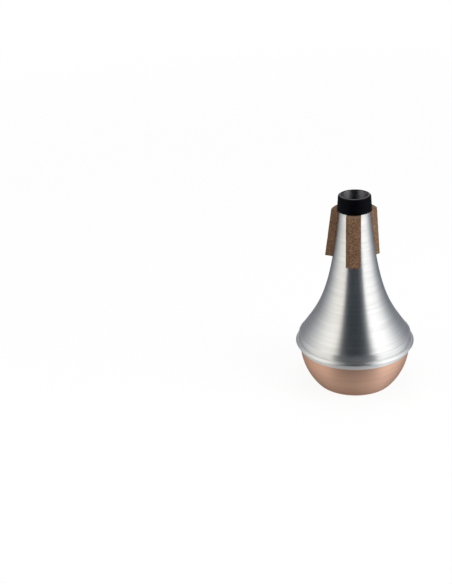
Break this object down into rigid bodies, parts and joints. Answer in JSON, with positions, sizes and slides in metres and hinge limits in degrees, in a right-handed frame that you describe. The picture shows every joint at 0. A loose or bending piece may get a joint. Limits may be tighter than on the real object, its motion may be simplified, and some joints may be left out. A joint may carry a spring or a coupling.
{
  "type": "trumpet straight mute",
  "caption": "Straight mute for a trumpet: a spun aluminium horn over a bowl-shaped copper base, joined by a rolled hoop, with a rubber collar at its open throat and cork strips to seat it.",
  "frame": {"origin": "centre of the base cap's flat end face, which the mute stands on", "axes": "+Z along the axis from the base to the open throat, which goes into the bell; +Y away from the picture's viewer, +X to their right"},
  "size_m": [0.085, 0.085, 0.1431],
  "materials": {
    "spun_aluminium": "satin, with fine spin lines",
    "spun_copper": "satin, with fine spin lines",
    "rolled_aluminium": "satin",
    "black_rubber": "matt, faintly glossy on the lip",
    "cork": "sanded agglomerated cork",
    "contact_cement": "thin dried film"
  },
  "bodies": {
    "root": {"shell": "spun_aluminium", "base_cap": "spun_copper", "rim_hoop": "rolled_aluminium", "throat_collar": "black_rubber", "cork_front": "cork", "cork_left": "cork", "cork_right": "cork", "glue_front": "contact_cement", "glue_left": "contact_cement", "glue_right": "contact_cement"}
  },
  "joints": []
}
